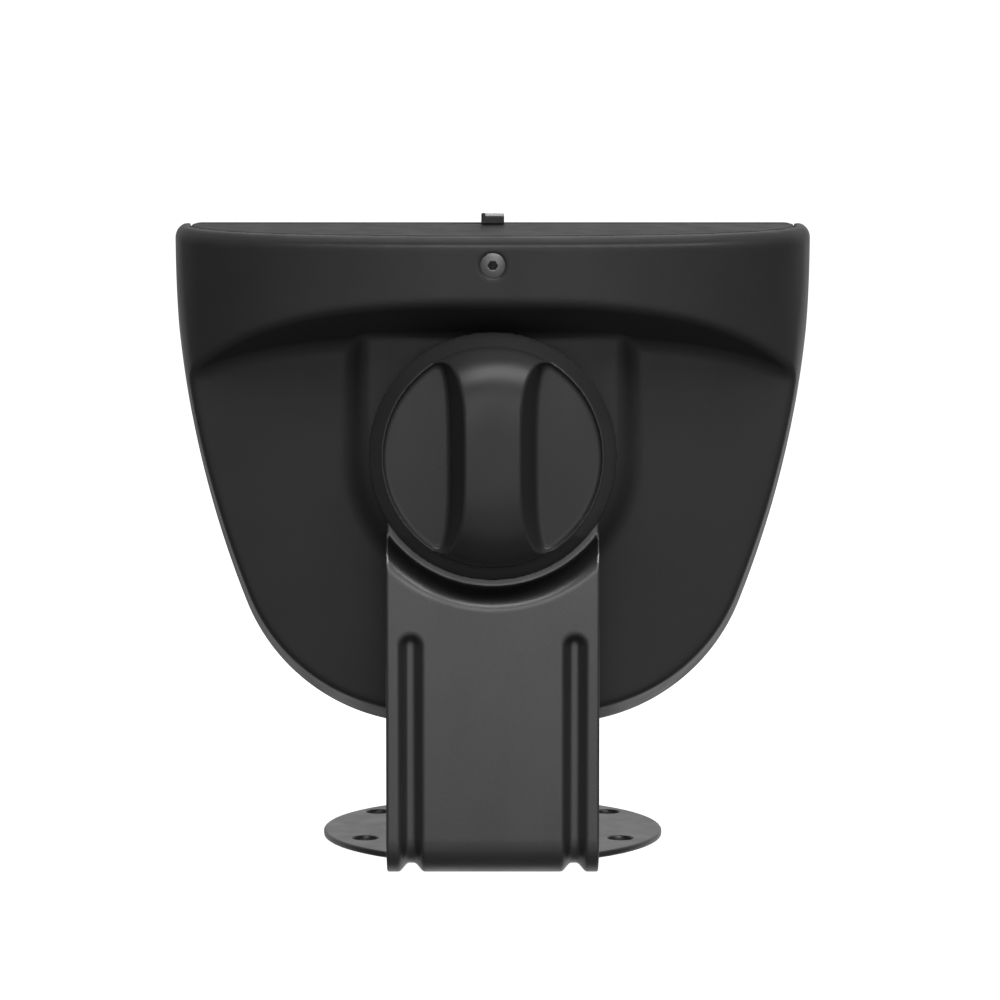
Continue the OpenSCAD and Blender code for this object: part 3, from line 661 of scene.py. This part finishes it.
BLACK = (0.042, 0.042, 0.042)
SCREW_GREY = (0.26, 0.26, 0.26)
magnet_low, magnet_high = box("speaker_magnet")
FINISHES = {
    "shell": plastic("shell", BLACK, 0.42),
    "bezel": plastic("bezel", BLACK, 0.42),
    "lid": plastic("lid", BLACK, 0.5, specular=0.35, grain=0.4, depth=0.01),
    "knob": plastic("knob", BLACK, 0.31, specular=0.5, grain=0.25, depth=0.003),
    "bracket": coated_metal("bracket", (0.17, 0.17, 0.17), 0.36, 0.9),
    "grille": coated_metal("grille", (0.03, 0.03, 0.032), 0.5, 0.3),
    "screen_glass": glass("screen_glass", (0.004, 0.004, 0.005), 0.04, (0.007, 0.007, 0.008)),
    "lens": glass("lens", (0.02, 0.03, 0.07), 0.03, (0.06, 0.03, 0.09)),
    "lcd": display("lcd", (0.015, 0.017, 0.02)),
    "diffuser": plastic("diffuser", (0.8, 0.82, 0.82), 0.6, wear=0.1),
    "sheet_metal": bare_metal("sheet_metal", (0.55, 0.56, 0.57), 0.34),
    "screw_steel": bare_metal("screw_steel", SCREW_GREY, 0.42, 0.8, centre=(0, 0, SCREW_Z)),
    "brass": bare_metal("brass", (0.65, 0.48, 0.2), 0.3),
    "antenna": bare_metal("antenna", (0.7, 0.5, 0.2), 0.3),
    "magnet": bare_metal("magnet", (0.45, 0.45, 0.46), 0.3, centre=(magnet_low + magnet_high) / 2),
    "circuit_board": circuit("circuit_board", (0.02, 0.16, 0.07), (0.05, 0.3, 0.12), (0.7, 0.55, 0.25)),
    "flat_cable": flat_cable("flat_cable", (0.5, 0.24, 0.06), (0.7, 0.35, 0.15)),
    "connector": plastic("connector", (0.75, 0.72, 0.65), 0.45, wear=0.1),
    "graphite": rubbery("graphite", (0.08, 0.08, 0.085), 0.5, 0.8, 0.01),
    "camera_body": plastic("camera_body", (0.02, 0.02, 0.022), 0.5),
    "basket": plastic("basket", (0.03, 0.03, 0.032), 0.5),
    "cone": rubbery("cone", (0.05, 0.05, 0.055), 0.8, 0.6, 0.04),
    "wire": rubbery("wire", (0.4, 0.03, 0.03), 0.5, 0.3, 0.01),
    "seal": rubbery("seal", (0.025, 0.025, 0.025), 0.85, 0.4),
    "nylon": plastic("nylon", (0.6, 0.58, 0.52), 0.4, wear=0.1),
    "friction": rubbery("friction", (0.05, 0.05, 0.05), 0.8, 0.5),
    "slider": plastic("slider", (0.03, 0.03, 0.03), 0.4),
    # the cap is a real ridged bar, but its light grey is a painted highlight: it stands for the glossy
    # highlight along the tab's upper rear edge
    "slider_cap": plastic("slider_cap", (0.85, 0.85, 0.85), 0.5, wear=0.1),
}

for name, field, low, high, voxel, node, body, slot in PIECES:
    piece = mesh_from(name, field, low, high, voxel)
    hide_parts(node)
    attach(piece, body)
    piece.data.materials.append(FINISHES[slot])

# the CAD's own nodes are repainted, slot by slot
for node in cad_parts.values():
    for holder in node.material_slots:
        holder.material = FINISHES[holder.material.name.split(".")[0]]


# ---- studio: white to the eye ----
scene = bpy.context.scene
scene.view_settings.view_transform = "Standard"
world = bpy.data.worlds.new("studio")
scene.world = world
world.use_nodes = True
world.node_tree.nodes.clear()
room = Graph(world.node_tree)
direction = room.node("SeparateXYZ", {0: room.node("TexCoord").outputs["Generated"]})


def towards(axis, stops):
    """Greys by how far a direction points along an axis, from 0 at its negative end to 1."""
    return room.ramp(room.math("MULTIPLY_ADD", direction.outputs[axis], 0.5, 0.5), stops)


# the light it gives is bright beyond the object, dark at the sides and dim behind the camera
across = towards(0, [(0.36, 1.0), (0.5, 0.93), (0.62, 0.68)])
around = towards(1, [(0.0, 0.7), (0.2, 0.5), (0.42, 0.08), (0.75, 0.08), (0.95, 0.25)])
above = towards(2, [(0.05, 0.9), (0.25, 0.8), (0.45, 0.62), (0.52, 0.62), (0.8, 0.6), (1.0, 0.4)])
LIGHT_LEVEL, SEEN_LEVEL = 1.55, 1.1
level = room.math("MULTIPLY", across, LIGHT_LEVEL)
level = room.math("MULTIPLY", room.math("MULTIPLY", around, above), level)
WHITE = (1, 1, 1, 1)
lit = room.node("Background", {"Color": WHITE, "Strength": level})
seen = room.node("Background", {"Color": WHITE, "Strength": SEEN_LEVEL})
camera_ray = room.node("LightPath").outputs["Is Camera Ray"]
both = room.node("MixShader", {0: camera_ray, 1: lit.outputs[0], 2: seen.outputs[0]})
room.node("OutputWorld", {"Surface": both.outputs[0]})

LAMP_AIM = (0, 0, 0.1)


def lamp(name, size, power, place):
    """A rectangular lamp in metres and watts, aimed at the head."""
    data = bpy.data.lights.new(name, "AREA")
    data.shape = "RECTANGLE"
    data.size, data.size_y = size
    data.energy = power
    light = bpy.data.objects.new(name, data)
    light.location = place
    light.rotation_euler = (Vector(LAMP_AIM) - Vector(place)).to_track_quat("-Z", "Y").to_euler()
    light.visible_camera = False
    scene.collection.objects.link(light)


lamp("key", (1.4, 0.7), 11.3, (-0.2, 0.8, 1.3))
lamp("front", (1.4, 1.0), 4.8, (-0.1, 2.2, 0.5))

# a pale floor that gives the object no light of its own
FLOOR_HALF = 4
floor_mesh = bpy.data.meshes.new("floor")
floor_corners = [(x * FLOOR_HALF, y * FLOOR_HALF, 0) for x, y in ((-1, -1), (1, -1), (1, 1), (-1, 1))]
floor_mesh.from_pydata(floor_corners, [], [(0, 1, 2, 3)])
floor = bpy.data.objects.new("floor", floor_mesh)
scene.collection.objects.link(floor)
paper = Finish("paper", Emission_Color=WHITE, Emission_Strength=1.0)
fibres = paper.noise(2, 3)
paper.emboss(fibres, 0.02)
pale = paper.blend(fibres, shade((0.9, 0.9, 0.9), 0.98), WHITE)
floor_mesh.materials.append(paper.done(pale, paper.spread(fibres, 0.7, 0.85)))
floor.visible_diffuse = floor.visible_glossy = floor.visible_transmission = False
